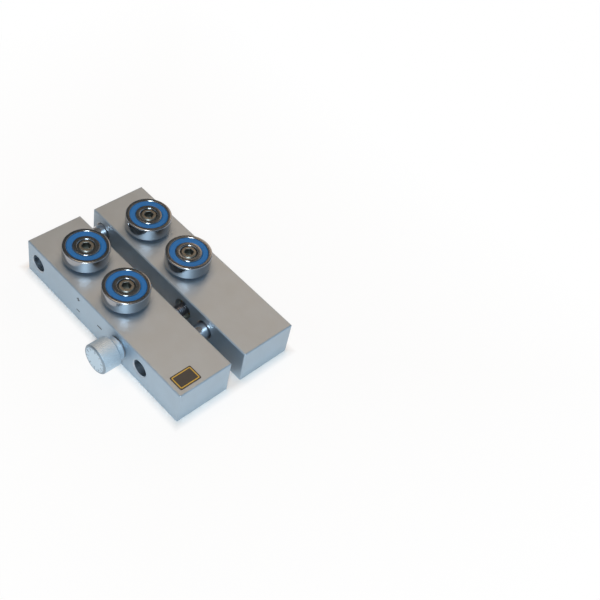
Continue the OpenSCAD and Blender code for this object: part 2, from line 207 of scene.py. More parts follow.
def make_floor():
    """A large square under the tool, with its own light rising away from the jaws."""
    mesh = bpy.data.meshes.new("floor")
    h = FLOOR_HALF
    mesh.from_pydata([(-h, -h, 0), (h, -h, 0), (h, h, 0), (-h, h, 0)], [], [(0, 1, 2, 3)])
    floor = bpy.data.objects.new("floor", mesh)
    scene.collection.objects.link(floor)
    material = bpy.data.materials.new("white_paper")
    material.use_nodes = True
    tree = material.node_tree
    tree.nodes.clear()
    place = add_node(tree, "TexCoord").outputs["Object"]
    away = distance_outside(tree, place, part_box("front_block")[0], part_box("back_block")[1])
    across = calculate(tree, "DOT_PRODUCT", place, BRIGHT_WAY, "VectorMath")
    mirrored = spread(tree, across, DIM_SHARE, BRIGHT_SHARE, DIM_AT, BRIGHT_AT)
    near = spread(tree, away, 0.0, OWN_LIGHT_NEAR, 0.0, FOOT_FADE)
    far = spread(tree, away, 0.0, 1.0 - OWN_LIGHT_NEAR, FAR_START, FAR_END)
    share = calculate(tree, "ADD", near, far)
    shown = calculate(tree, "MULTIPLY", seen_rays(tree, mirrored), share)
    lit = add_node(tree, "BsdfDiffuse", Color=(*FLOOR_COLOUR, 1.0))
    own = add_node(tree, "Emission", Color=WHITE, Strength=1.0)
    add_node(tree, "OutputMaterial", Surface=mixed(tree, shown, lit, own).outputs[0])
    mesh.materials.append(material)


make_floor()
print("floor side, m:", 2 * FLOOR_HALF)

# %% [markdown]
# ### The room round the tool
# Polished rings are as dark or bright as what they mirror. A photograph of a room could be wrapped
# round the tool, but two colour ramps are enough: a cool window side and a warm back wall.

# %% World
COOL_SIDE = (0.96, -0.28, 0.0)
COOL_FROM, COOL_TO = -0.6, 0.0
COOL_STOPS = (
    (0.00, (0.54, 0.70, 0.86)),
    (0.45, (0.56, 0.66, 0.76)),
    (0.62, (0.15, 0.17, 0.19)),
    (1.00, (0.22, 0.21, 0.20)),
)
WARM_STOPS = (
    (0.00, (0.42, 0.40, 0.38)),
    (0.50, (0.17, 0.15, 0.13)),
    (0.78, (0.11, 0.10, 0.085)),
    (1.00, (0.18, 0.17, 0.16)),
)


def make_world():
    """White to the camera. To other rays two ramps over the sine of the height above the horizon,
    mixed by how far the ray points to the cool side."""
    world = bpy.data.worlds.new("room")
    world.use_nodes = True
    tree = world.node_tree
    tree.nodes.clear()
    direction = add_node(tree, "TexCoord").outputs["Generated"]
    height = add_node(tree, "SeparateXYZ", Vector=direction).outputs["Z"]
    sideways = calculate(tree, "DOT_PRODUCT", direction, COOL_SIDE, "VectorMath")
    coolness = spread(tree, sideways, 0.0, 1.0, COOL_FROM, COOL_TO)
    warm = add_node(tree, "Background", Color=ramp(tree, height, *WARM_STOPS))
    cool = add_node(tree, "Background", Color=ramp(tree, height, *COOL_STOPS))
    white = add_node(tree, "Background", Color=WHITE)
    camera_ray = add_node(tree, "LightPath").outputs["Is Camera Ray"]
    both = mixed(tree, camera_ray, mixed(tree, coolness, warm, cool), white)
    add_node(tree, "OutputWorld", Surface=both.outputs[0])
    scene.world = world
    scene.view_settings.view_transform = "Standard"


make_world()
print("colours of the room:", len(COOL_STOPS) + len(WARM_STOPS))

# %% [markdown]
# ## Lamps
# Three square soft lamps do the work. The first hangs behind the camera: it gives the glint on the
# front of each rim and the pale streak down each roller's side. The other two are warm and hang
# overhead and at the back, on either side of the direction that the flat tops mirror: the tops'
# rough grain gathers their light, and the polished rings stay dark. Sun lamps would give hard edges
# that the photograph hasn't got.

# %% Lamps
LAMP_DISTANCE = 0.9
LAMPS = (
    ("lamp_behind_camera", (0.48, -0.45, 0.76), 0.24, 4.7, (0.82, 0.93, 1.0)),
    ("lamp_overhead", (-0.27, 0.05, 0.95), 0.40, 2.0, (1.0, 0.65, 0.42)),
    ("lamp_back", (-0.36, 0.76, 0.55), 0.40, 1.25, (1.0, 0.65, 0.42)),
)


def hang_lamp(name, direction, side, power, colour):
    """An area lamp at LAMP_DISTANCE along a direction, facing the tool."""
    data = bpy.data.lights.new(name, "AREA")
    data.shape = "SQUARE"
    data.size = side
    data.energy = power
    data.color = colour
    lamp = bpy.data.objects.new(name, data)
    towards = Vector(direction).normalized()
    lamp.location = towards * LAMP_DISTANCE
    lamp.rotation_euler = towards.to_track_quat("Z", "Y").to_euler()
    lamp.visible_camera = False
    scene.collection.objects.link(lamp)


for lamp_values in LAMPS:
    hang_lamp(*lamp_values)
print("lamps:", len(LAMPS), "power, W:", sum(values[3] for values in LAMPS))

# %% [markdown]
# ## Surfaces from grids
# Most pieces here came off a lathe. Blender's Spin tool could turn a profile, but a grid of points
# worked out with numpy is exact and needs no clean-up. A skin is laid over rings of points: each
# ring is a closed loop, and neighbouring rings are joined by quads. The skin also stores a UV map,
# where u runs once round and v is the distance along the profile, for finishes that follow the cut
# of the tool.

# %% Skins over rings
TURN = 2 * math.pi


def lay_skin(name, rings, ends="cap"):
    """Mesh over rings[k, j] = point j of ring k. Quad (k, j) joins the points j and j + 1 of ring k
    to those of ring k + 1. ends is cap for flat ends, pole where the first and last ring are single
    points, and round where the last ring joins the first. v adds up the rings' mean steps."""
    rings = np.asarray(rings, float)
    count, around = rings.shape[:2]
    steps = np.linalg.norm(np.roll(rings, -1, 0) - rings, axis=2).mean(1)
    v = np.concatenate([[0.0], np.cumsum(steps)])
    rows = count if ends == "round" else count - 1
    k, j = np.meshgrid(np.arange(rows), np.arange(around), indexing="ij")
    after, beside = (k + 1) % count, (j + 1) % around
    here, there = k * around, after * around
    faces = np.stack([here + j, here + beside, there + beside, there + j], -1).reshape(-1, 4)
    u = np.stack([j, j + 1, j + 1, j], -1) / around
    uv = np.stack([u, np.stack([v[k], v[k], v[k + 1], v[k + 1]], -1)], -1).reshape(-1, 4, 2)
    points = rings.reshape(-1, 3)
    lists, loops = faces.tolist(), [uv.reshape(-1, 2)]
    if ends == "pole":
        points = points[around - 1 : 1 - around]
        faces = faces - (around - 1)
        top = np.full(around, len(points) - 1)
        low = np.stack([0 * top, faces[:around, 2], faces[:around, 3]], 1)
        high = np.stack([faces[-around:, 0], faces[-around:, 1], top], 1)
        lists = faces[around:-around].tolist() + low.tolist() + high.tolist()
        middle, start, end = uv[around:-around], uv[:around, 1:], uv[-around:, :3]
        loops = [part.reshape(-1, 2) for part in (middle, start, end)]
    if ends == "cap":
        lists += [list(range(around))[::-1], list(range(len(points) - around, len(points)))]
        loops += [points[lists[-2], :2], points[lists[-1], :2]]
    mesh = bpy.data.meshes.new(name)
    mesh.from_pydata(points.tolist(), [], lists)
    layer = mesh.uv_layers.new(name="cut")
    layer.data.foreach_set("uv", np.vstack(loops).astype(np.float32).ravel())
    mesh.validate()
    return mesh


print("ends of a skin: cap, pole or round")

# %% Finishing a piece


def finish_piece(name, mesh, material, body, stands_for=(), sharp=32):
    """Object for a mesh, shaded smooth up to an angle in degrees, riding on its body."""
    mesh.shade_smooth()
    mesh.set_sharp_from_angle(angle=math.radians(sharp))
    mesh.materials.clear()
    mesh.materials.append(material)
    piece = bpy.data.objects.new(name, mesh)
    scene.collection.objects.link(piece)
    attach(piece, body)
    if stands_for:
        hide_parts(*stands_for)
    return piece


def face_values(piece, kind):
    """The centre or the normal of every face, as rows of x, y and z."""
    values = np.empty(3 * len(piece.data.polygons), np.float32)
    piece.data.polygons.foreach_get(kind, values)
    return values.reshape(-1, 3)


def second_finish(piece, material, chosen):
    """Gives a second material to the faces where chosen is true."""
    piece.data.materials.append(material)
    piece.data.polygons.foreach_set("material_index", np.asarray(chosen, np.int32))


print("nodes to finish:", len(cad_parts))

# %% [markdown]
# ## Turned shapes
# A turned piece is a profile of (radius, height) corners carried round an axis. Real edges are
# never quite sharp, and a rounded edge is what catches the light, so each corner is first softened
# into a short curve. The profile runs counterclockwise with the radius to the right and the height
# up, which makes every face point outwards.

# %% Turned shapes
AROUND = 96
SAME_POINT = 0.00001 * MM
NEARLY_HALF = 0.48
TINY = 1e-12


def softened(corners, radius, closed=False, steps=4):
    """Each corner P becomes the curve (1-t)^2 A + 2t(1-t) P + t^2 B, where A and B lie radius
    before and after P, or nearly half of a shorter edge. An open profile keeps its two ends."""
    p = np.asarray(corners, float)
    reach = np.broadcast_to(np.asarray(radius, float), (len(p),))[:, None]
    back, ahead = np.roll(p, 1, 0) - p, np.roll(p, -1, 0) - p
    back_length = np.maximum(np.linalg.norm(back, axis=1, keepdims=True), TINY)
    ahead_length = np.maximum(np.linalg.norm(ahead, axis=1, keepdims=True), TINY)
    a = p + back / back_length * np.minimum(reach, NEARLY_HALF * back_length)
    b = p + ahead / ahead_length * np.minimum(reach, NEARLY_HALF * ahead_length)
    t = np.linspace(0, 1, steps + 1)[None, :, None]
    curve = (1 - t) ** 2 * a[:, None] + 2 * t * (1 - t) * p[:, None] + t**2 * b[:, None]
    if closed:
        return curve.reshape(-1, 2)
    return np.vstack([p[:1], curve[1:-1].reshape(-1, 2), p[-1:]])


def turn_rings(radii, heights, centre, axis="z"):
    """Rings of points (r cos a, r sin a, h) about the axis through centre. A row of radii may hold
    one radius or one for each angle. Along y the rings lie at (r cos a, h, -r sin a)."""
    radii, heights = np.asarray(radii, float), np.asarray(heights, float)
    around = radii.shape[1] if radii.ndim == 2 else AROUND
    angle = TURN * np.arange(around) / around
    radii = radii.reshape(len(heights), -1) * np.ones((1, around))
    x, y = radii * np.cos(angle), radii * np.sin(angle)
    h = np.repeat(heights[:, None], around, 1)
    local = np.stack([x, y, h], -1) if axis == "z" else np.stack([x, h, -y], -1)
    return local + np.asarray(centre, float)


def turned_mesh(name, profile, centre, axis="z"):
    """Mesh of a profile turned about an axis, without points that repeat the one before them. A
    profile that touches the axis ends in poles, and any other one closes on itself."""
    profile = np.asarray(profile, float)
    step = np.linalg.norm(profile - np.roll(profile, 1, 0), axis=1)
    profile = profile[step > SAME_POINT]
    ends = "round" if profile[:, 0].min() > 0 else "pole"
    return lay_skin(name, turn_rings(profile[:, 0], profile[:, 1], centre, axis), ends)


def turned_profile(inner, outer, length, chamfer, soft):
    """Tube, or a bar where inner is 0, with its outer edges chamfered."""
    return softened([
        (inner, 0), (outer - chamfer, 0), (outer, chamfer),
        (outer, length - chamfer), (outer - chamfer, length), (inner, length),
    ], soft, closed=inner > 0)


print("points round a turned piece:", AROUND)

# %% Sizes from the nodes


def box_of(node):
    """Lowest and highest corner of a node as arrays."""
    return np.array(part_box(node))


def axis_of(node):
    """Where a node turned about y starts on its axis, its radius and its length."""
    low, high = box_of(node)
    start = (low + high) / 2
    start[1] = low[1]
    return start, (high[2] - low[2]) / 2, high[1] - low[1]


print("knob's radius, mm:", round(axis_of("knob")[1] / MM, 2))

# %% [markdown]
# ## Metal finishes
# Two finishes cover the tool's metal. Bead blasting leaves a fine, even grain that scatters the
# light, so it is a rough metal with a tiny noise bump on Object coordinates. Turning and grinding
# leave hair-fine rings, so their noise runs along v of the UV map and never changes round the
# piece. Oil and handling make both a little uneven, which a broad noise on the colour and the
# roughness gives. The knob is anodised, which leaves it a little less metallic than bare steel.
# Pictures of real metal could be laid on instead, but noise has no seams and needs no file.

# %% Metal finishes
GRAIN = 1 / (0.16 * MM)
CUT_LINES = 1 / (0.07 * MM)
SMUDGES = 1 / (9 * MM)
TINTS = (0.975, 1.025)
TINT_FROM, TINT_TO = 0.35, 0.65
ROUGH_FROM, ROUGH_TO = 0.3, 0.7
CUT_STRENGTH = 0.6
BLASTED = {"metallic": 1.0, "change": 0.018, "depth": 0.012 * MM, "strength": 0.5}
FINELY_CUT = {"depth": 0.001 * MM, "change": 0.02}


def start_material(name, colour, roughness, metallic, change):
    """Material with broad noise that varies its colour by a few hundredths and its roughness by
    change. It comes with its tree, its shader and its Object coordinates."""
    material = bpy.data.materials.new(name)
    material.use_nodes = True
    tree = material.node_tree
    shader = tree.nodes["Principled BSDF"]
    shader.inputs["Base Color"].default_value = (*colour, 1.0)
    shader.inputs["Metallic"].default_value = metallic
    shader.inputs["Roughness"].default_value = roughness
    place = add_node(tree, "TexCoord").outputs["Object"]
    broad = add_node(tree, "TexNoise", Vector=place, Scale=SMUDGES, Detail=3.0).outputs[0]
    low, high = ([min(1.0, part * share) for part in colour] for share in TINTS)
    feed(tree, shader.inputs["Base Color"], ramp(tree, broad, (TINT_FROM, low), (TINT_TO, high)))
    rough = spread(tree, broad, roughness - change, roughness + change, ROUGH_FROM, ROUGH_TO)
    feed(tree, shader.inputs["Roughness"], rough)
    return material, tree, shader, place


def bump(tree, shader, height, depth, strength):
    """Bump of a real depth in metres."""
    made = add_node(tree, "Bump", Height=height, Distance=depth, Strength=strength)
    feed(tree, shader.inputs["Normal"], made.outputs[0])


def grained(
    name, colour, roughness, metallic, change, depth, strength, scale=GRAIN, detail=2.0, shine=0.5
):
    """Material with an even grain: a fine noise bump on Object coordinates."""
    material, tree, shader, place = start_material(name, colour, roughness, metallic, change)
    grain = add_node(tree, "TexNoise", Vector=place, Scale=scale, Detail=detail).outputs[0]
    bump(tree, shader, grain, depth, strength)
    shader.inputs["Specular IOR Level"].default_value = shine
    return material


def cut_metal(name, colour, roughness, depth=0.002 * MM, change=0.03, metallic=1.0):
    """Turned or ground metal, with hair lines along v."""
    material, tree, shader, _ = start_material(name, colour, roughness, metallic, change)
    cut_map = add_node(tree, "TexCoord").outputs["UV"]
    lines = add_node(tree, "TexNoise", Scale=CUT_LINES)
    lines.noise_dimensions = "1D"
    feed(tree, lines.inputs["W"], add_node(tree, "SeparateXYZ", Vector=cut_map).outputs["Y"])
    bump(tree, shader, lines.outputs[0], depth, CUT_STRENGTH)
    return material


print("grains to a millimetre:", round(GRAIN * MM, 1))

# %% The tool's metals
before = len(bpy.data.materials)
blasted = grained("blasted_aluminium", (0.43, 0.525, 0.605), 0.54, **BLASTED)
rod_metal = cut_metal("ground_rod_steel", (0.64, 0.66, 0.70), 0.12)
ring_metal = cut_metal("ground_bearing_steel", (0.37, 0.38, 0.40), 0.17, **FINELY_CUT)
# Darker copy of the bearing steel for the rings' flat faces: satin roughness, and a darker colour
# that is painted shade.
shaded_face_metal = cut_metal("satin_bearing_steel_painted_shade", (0.20, 0.24, 0.28), 0.20, **FINELY_CUT)
ball_metal = cut_metal("polished_ball_steel", (0.70, 0.71, 0.73), 0.06)
cage_metal = grained("pressed_cage_steel", (0.46, 0.46, 0.45), 0.34, **BLASTED)
axle_metal = cut_metal("oiled_axle_steel", (0.19, 0.205, 0.195), 0.40)
black_metal = cut_metal("black_screw_steel", (0.27, 0.29, 0.33), 0.34)
# The front washer's dark colour is painted shade behind the knob.
shaded_washer_metal = cut_metal("washer_steel_painted_shade", (0.26, 0.27, 0.29), 0.36)
bronze_metal = cut_metal("sintered_bronze", (0.50, 0.34, 0.19), 0.42)
# The nut's dark colour is painted shade in its recess.
shaded_brass_metal = cut_metal("brass_painted_shade", (0.36, 0.27, 0.13), 0.40)
knob_metal = cut_metal(
    "anodised_knob_aluminium", (0.58, 0.70, 0.79), 0.56, depth=0.003 * MM, metallic=0.82
)
# Darker copy of the knob's metal for the ring round the numbers: its darkness is painted shade.
shaded_edge_metal = cut_metal("knob_edge_painted_shade", (0.31, 0.38, 0.44), 0.50)
print("metals:", len(bpy.data.materials) - before)

# %% [markdown]
# ## The two jaws
# Each jaw is a milled block with chamfered edges, bored for the rods, the spindle and the roller
# axles. Carving those bores again would only repeat the construction, so the jaw is a cleaned copy
# of its node: its loose triangles are merged and flat areas dissolved. Its long straight edges then
# get a narrow rounded bevel, because the tool that broke them left no knife edge, and that thin
# line is what shines along the top in the photograph. The bores are reamed after blasting, so their
# walls take a smoother metal.

# %% Jaws
EDGE_ROUND, EDGE_STEPS = 0.15 * MM, 3
OUTER_NORMALS = 0.02
MERGE_REACH = 0.002 * MM
FLAT_WITHIN, EDGE_ABOVE = math.radians(0.4), math.radians(20)
SIDE_REACH, LONG_FACE = 1.2 * MM, 12 * MM


def is_plain(face):
    """True for an outer side or a chamfer: the parts of its normal are all 0, 1 or sqrt(1/2)."""
    parts = np.abs(np.array(face.normal))
    close = [np.abs(parts - share) < OUTER_NORMALS for share in (0.0, 1.0, 0.5**0.5)]
    return bool(np.all(np.any(close, axis=0)))


def touches_outside(face, low, high):
    """True for the six sides of a block and the flat chamfers between them."""
    middle = np.array(face.calc_center_bounds())
    outside = np.sum((middle - low < SIDE_REACH) | (high - middle < SIDE_REACH))
    spans = np.array([v.co for v in face.verts])
    large = np.ptp(spans, axis=0).max() > LONG_FACE or outside >= 2
    return bool(is_plain(face) and outside >= 1 and large)


def jaw_mesh(node):
    """Merged copy of a node with weights on the edges between its outer faces and chamfers, and
    the faces that lie inside its bores."""
    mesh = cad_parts[node].data.copy()
    shape = bmesh.new()
    shape.from_mesh(mesh)
    bmesh.ops.remove_doubles(shape, verts=shape.verts, dist=MERGE_REACH)
    bmesh.ops.dissolve_limit(shape, angle_limit=FLAT_WITHIN, verts=shape.verts, edges=shape.edges)
    low, high = box_of(node)
    weight = shape.edges.layers.float.new("bevel_weight_edge")
    for edge in shape.edges:
        if len(edge.link_faces) == 2 and edge.calc_face_angle(0.0) > EDGE_ABOVE:
            edge[weight] = float(all(touches_outside(face, low, high) for face in edge.link_faces))
    bored = np.array([not is_plain(face) for face in shape.faces])
    shape.to_mesh(mesh)
    shape.free()
    return mesh, bored


def round_edges(piece, width):
    """Rounds the weighted edges of a piece and lets the large flat faces set the normals."""
    rounding = piece.modifiers.new("edge rounding", "BEVEL")
    rounding.limit_method = "WEIGHT"
    rounding.width = width
    rounding.segments = EDGE_STEPS
    rounding.use_clamp_overlap = False
    flatness = piece.modifiers.new("flat faces", "WEIGHTED_NORMAL")
    flatness.keep_sharp = True
    flatness.weight = 100


reamed = grained("reamed_aluminium", (0.48, 0.54, 0.60), 0.34, **BLASTED)
for node, body in (("front_block", "front_jaw"), ("back_block", "back_jaw")):
    milled, bored = jaw_mesh(node)
    jaw = finish_piece(node + "_milled", milled, blasted, body, (node,))
    second_finish(jaw, reamed, bored)
    round_edges(jaw, EDGE_ROUND)
    print(jaw.name, "faces:", len(jaw.data.polygons), "bored:", int(bored.sum()))

# %% [markdown]
# ## Rods, bushes, washers and nut
# The guide rods are ground and polished bar, the bushes and the rear washer sintered bronze, the
# front washer dark steel and the nut dark brass, both darkened as painted shade behind the knob
# and in the nut's recess. Cylinders with a Bevel modifier would come close.
# A turned profile gives each chamfer its own width, and it reads its sizes from the node's box, so
# a change in the construction comes through by itself.

# %% Turned guide parts
RUNNING_GAP = 0.02 * MM
ROD_CHAMFER = 0.5 * MM
SMALL_CHAMFER = 0.3 * MM
THIN_CHAMFER = 0.15 * MM
SOFT = 0.06 * MM
SPINDLE_RADIUS = 3.0 * MM


def turn_part(node, body, material, chamfer, bore=0):
    """Bar along y in its node's place, or a tube around a bore of a given radius."""
    start, radius, length = axis_of(node)
    profile = turned_profile(bore, radius, length, chamfer, SOFT)
    mesh = turned_mesh(node + "_turned", profile, start, "y")
    return finish_piece(node + "_turned", mesh, material, body, (node,))


for side in ("left", "right"):
    rod = turn_part(f"guide_rod_{side}", "back_jaw", rod_metal, ROD_CHAMFER)
    rod_radius = axis_of(f"guide_rod_{side}")[1]
    bore = rod_radius + RUNNING_GAP
    turn_part(f"guide_bush_{side}", "front_jaw", bronze_metal, SMALL_CHAMFER, bore)
    print(rod.name, "diameter, mm:", round(2 * rod_radius / MM, 2))
bore = SPINDLE_RADIUS + RUNNING_GAP
turn_part("thrust_washer_front", "front_jaw", shaded_washer_metal, THIN_CHAMFER, bore)
turn_part("thrust_washer_rear", "front_jaw", bronze_metal, THIN_CHAMFER, bore)
turn_part("spindle_nut", "back_jaw", shaded_brass_metal, SMALL_CHAMFER, bore)

# %% [markdown]
# ## The spindle
# The spindle is a black screw with a thrust shoulder and a metric thread of 1 mm pitch. A true
# thread could be lofted as a separate coil. It is also simply a bar whose radius depends on the
# angle and the height together, so here the whole screw is one skin, with the thread's flanks as a
# trapezoid wave that climbs once a turn.

# %% Spindle
THREAD_PITCH = 1.0 * MM
THREAD_DEPTH = 0.54 * MM
THREAD_ROWS = 14
THREAD_AROUND = 48
CUT_SHARP = 40
SHOULDER_RADIUS = 5.0 * MM
SHOULDER_LENGTH = 3.0 * MM
END_FLOAT = 0.05 * MM
ROOT_SHARE, FLANK_SHARE = 0.28, 0.5


def spindle_mesh():
    """Plain shank, shoulder and thread as one stack of rings. On the thread the radius is
    root + depth * wave(height / pitch - angle / turn), faded out at both ends, where the wave is 1
    on the crest, 0 in the root, and straight between them."""
    start, _, length = axis_of("spindle")
    shoulder = box_of("thrust_washer_rear")[1][1] + END_FLOAT - start[1]
    thread_start, r = shoulder + SHOULDER_LENGTH, SPINDLE_RADIUS
    plain = softened([
        (0, 0), (r - ROD_CHAMFER, 0), (r, ROD_CHAMFER), (r, shoulder),
        (SHOULDER_RADIUS - SMALL_CHAMFER, shoulder), (SHOULDER_RADIUS, shoulder + SMALL_CHAMFER),
        (SHOULDER_RADIUS, thread_start - SMALL_CHAMFER),
        (SHOULDER_RADIUS - SMALL_CHAMFER, thread_start),
        (r - THREAD_DEPTH, thread_start),
    ], SOFT)
    every = np.ones((1, THREAD_AROUND))
    rows = int((length - ROD_CHAMFER - thread_start) / THREAD_PITCH * THREAD_ROWS)
    heights = np.linspace(thread_start, length - ROD_CHAMFER, rows)[1:]
    phase = heights[:, None] / THREAD_PITCH - np.arange(THREAD_AROUND) / THREAD_AROUND
    saw = np.abs((phase % 1.0) - 0.5) * 2
    wave = np.clip((saw - ROOT_SHARE) / FLANK_SHARE, 0.0, 1.0)
    ends = np.minimum(heights - thread_start, heights[-1] - heights) / THREAD_PITCH
    crest = THREAD_DEPTH * np.clip(ends, 0.0, 1.0)[:, None]
    thread = r - THREAD_DEPTH + crest * wave
    radii = np.vstack([plain[:, :1] * every, thread, 0 * every])
    all_heights = np.concatenate([plain[:, 1], heights, [length]])
    return lay_skin("spindle_screw", turn_rings(radii, all_heights, start, "y"), "pole")


spindle = finish_piece(
    "spindle_screw", spindle_mesh(), black_metal, "knob_and_spindle", ("spindle",),
    CUT_SHARP,
)
print("spindle faces:", len(spindle.data.polygons))

# %% [markdown]
# ## The knob
# The knob is turned aluminium with a fine straight knurl, a chamfer at each end of it, a smooth
# neck, and a flat end face whose numbers stand inside a darker ring, whose darkness is painted
# shade for the shadowed floor that the edge mirrors. The knurl is again a radius that depends on
# the angle. The locking screw's hole is cut with a Boolean, whose result is kept as the mesh,
# since a round hole across a knurl has no simple formula.

# %% Knob
KNURLS = 48
KNURL_SAMPLES = 6
KNURL_DEPTH = 0.10 * MM
KNOB_CHAMFER = 0.6 * MM
NECK_RADIUS = 5.6 * MM
NECK_LENGTH = 2.85 * MM
FACE_STEP = 0.03 * MM
FACE_RIM = 0.55 * MM
FACE_RING_SHARE = 0.5
KNOB_ROUNDINGS = np.array([0, 0, 0.1, 0.12, 0.12, 0.12, 0.2, 0.35, 0.15, 0.1, 0]) * MM
GROOVE_FADE = 1.5


def knob_rings():
    """Rings from the end face's pole, over the knurl and down the neck to the back's pole. The
    knurl takes depth * sin^2(grooves * angle / 2) off the radius where its share is 1."""
    start, radius, length = axis_of("knob")
    knurl_end = length - NECK_LENGTH
    rim, neck = radius - KNOB_CHAMFER, NECK_RADIUS
    smooth = softened([
        (0, FACE_STEP), (radius * FACE_RING_SHARE, FACE_STEP), (rim - FACE_RIM, FACE_STEP),
        (rim, 0), (radius, KNOB_CHAMFER), (radius, knurl_end - KNOB_CHAMFER), (rim, knurl_end),
        (neck, knurl_end), (neck, length - SMALL_CHAMFER), (neck - SMALL_CHAMFER, length),
        (0, length),
    ], KNOB_ROUNDINGS)
    share = np.clip((smooth[:, 0] - rim) / KNOB_CHAMFER, 0, 1) ** GROOVE_FADE
    around = KNURLS * KNURL_SAMPLES
    groove = np.sin(np.pi * np.arange(around) / KNURL_SAMPLES) ** 2
    radii = smooth[:, :1] - KNURL_DEPTH * share[:, None] * groove
    return turn_rings(radii, smooth[:, 1], start, "y")


knob_blank = lay_skin("knob_blank", knob_rings(), "pole")
print("knob's blank, faces:", len(knob_blank.polygons))

# %% Screw hole and darker ring
SCREW_HOLE_RADIUS = 1.52 * MM
HOLE_CHAMFER = 0.001 * MM


def final_mesh(piece):
    """New mesh with a piece's modifiers or text applied."""
    depsgraph = bpy.context.evaluated_depsgraph_get()
    return bpy.data.meshes.new_from_object(piece.evaluated_get(depsgraph))


def cut_hole(mesh, low, high, radius):
    """Takes an upright hole from a mesh with a Boolean and returns the new mesh."""
    start = np.array([(low[0] + high[0]) / 2, (low[1] + high[1]) / 2, low[2]])
    profile = turned_profile(0, radius, high[2] - low[2], HOLE_CHAMFER, 0)
    body = bpy.data.objects.new("blank", mesh)
    cutter = bpy.data.objects.new("cutter", turned_mesh("cutter", profile, start))
    for piece in (body, cutter):
        scene.collection.objects.link(piece)
    cut = body.modifiers.new("hole", "BOOLEAN")
    cut.operation, cut.object, cut.solver = "DIFFERENCE", cutter, "EXACT"
    done = final_mesh(body)
    for piece in (body, cutter):
        bpy.data.objects.remove(piece)
    return done


def ring_outside_numbers(piece):
    """True for the faces before the knurl and further from the axis than radius - chamfer - rim."""
    start, radius, _ = axis_of("knob")
    away = face_values(piece, "center") - start
    outside = np.hypot(away[:, 0], away[:, 2]) > radius - KNOB_CHAMFER - FACE_RIM
    return outside & (away[:, 1] < KNOB_CHAMFER)


screw_low, screw_high = box_of("knob_screw")
knob_low = box_of("knob")[0]
hole_low = np.array([screw_low[0], screw_low[1], knob_low[2] - MM])
knob_mesh = cut_hole(knob_blank, hole_low, screw_high, SCREW_HOLE_RADIUS)
knob_mesh.name = "knob_turned"
knob = finish_piece(
    "knob_turned", knob_mesh, knob_metal, "knob_and_spindle", ("knob",), CUT_SHARP
)
# The ring outside the numbers takes the darker metal, which is painted shade.
second_finish(knob, shaded_edge_metal, ring_outside_numbers(knob))
print("knob with its hole, faces:", len(knob.data.polygons))

# %% [markdown]
# ## Numbers and marks
# The knob is a dial, so plain numbers from 0 to 9 stand round its end face with a short stroke
# between each two. Real ones are engraved and filled with grey paint. Each is made as a very thin
# closed solid that stands a hair proud of the metal: text is turned into a mesh first and then set
# in its place.

# %% Paint
PAINT_STEP = 0.02 * MM
PRINT_THICKNESS = 1.5 * PAINT_STEP
PAINTED = {"metallic": 0.0, "change": 0.06, "depth": 0.004 * MM, "strength": 0.4, "detail": 1.0}
dial_grey = grained("dial_grey_paint", (0.16, 0.20, 0.25), 0.55, **PAINTED)
mark_grey = grained("mark_grey_paint", (0.020, 0.025, 0.032), 0.55, **PAINTED)
print("paints:", dial_grey.name, mark_grey.name)

# %% Numerals and thin plates
FONT_SHARE = 0.72
JOIN_REACH = 0.0005 * MM


def digit_mesh(text, height, depth):
    """Thin solid of a numeral in the x-y plane, centred, from Blender's own plain font, whose
    numerals are FONT_SHARE of the font's size in height."""
    letters = bpy.data.curves.new("digit", "FONT")
    letters.body = text
    letters.size = height / FONT_SHARE
    letters.extrude = depth / 2
    letters.align_x = "CENTER"
    letters.resolution_u = 3
    carrier = bpy.data.objects.new("digit", letters)
    scene.collection.objects.link(carrier)
    mesh = final_mesh(carrier)
    bpy.data.objects.remove(carrier)
    mesh.transform(Matrix.Translation((0, -height / 2, 0)))
    return mesh


def raised(outline, height):
    """Points of a flat outline at a height."""
    return np.column_stack([outline, np.full(len(outline), height)])


def plate_mesh(name, outline, thickness):
    """Thin plate over an outline in the x-y plane."""
    return lay_skin(name, [raised(outline, -thickness / 2), raised(outline, thickness / 2)])


def rectangle(width, height, radius=0.0, steps=5):
    """Outline of a rectangle about the origin, with rounded corners if radius isn't 0."""
    w, h = width / 2, height / 2
    corners = [(-w, -h), (w, -h), (w, h), (-w, h)]
    return softened(corners, radius, closed=True, steps=steps) if radius else np.array(corners)


def joined(name, parts):
    """One mesh from pairs of a mesh and the matrix that places it."""
    shape = bmesh.new()
    for mesh, matrix in parts:
        placed = mesh.copy()
        placed.transform(matrix)
        shape.from_mesh(placed)
        bpy.data.meshes.remove(placed)
    bmesh.ops.remove_doubles(shape, verts=shape.verts, dist=JOIN_REACH)
    made = bpy.data.meshes.new(name)
    shape.to_mesh(made)
    shape.free()
    return made


print("thickness of print, mm:", round(PRINT_THICKNESS / MM, 3))

# %% Dial
DIAL_COUNT = 10
DIGIT_HEIGHT = 1.55 * MM
DIGIT_RADIUS = 5.25 * MM
TICK_RADIUS = 5.75 * MM
TICK_LENGTH, TICK_WIDTH = 0.9 * MM, 0.18 * MM


def facing_front(x, y, z, angle=0.0):
    """Matrix that stands the x-y plane up to face -Y at a point, turned by an angle in it."""
    upright, turned = Matrix.Rotation(math.pi / 2, 4, "X"), Matrix.Rotation(angle, 4, "Z")
    return Matrix.Translation((x, y, z)) @ upright @ turned


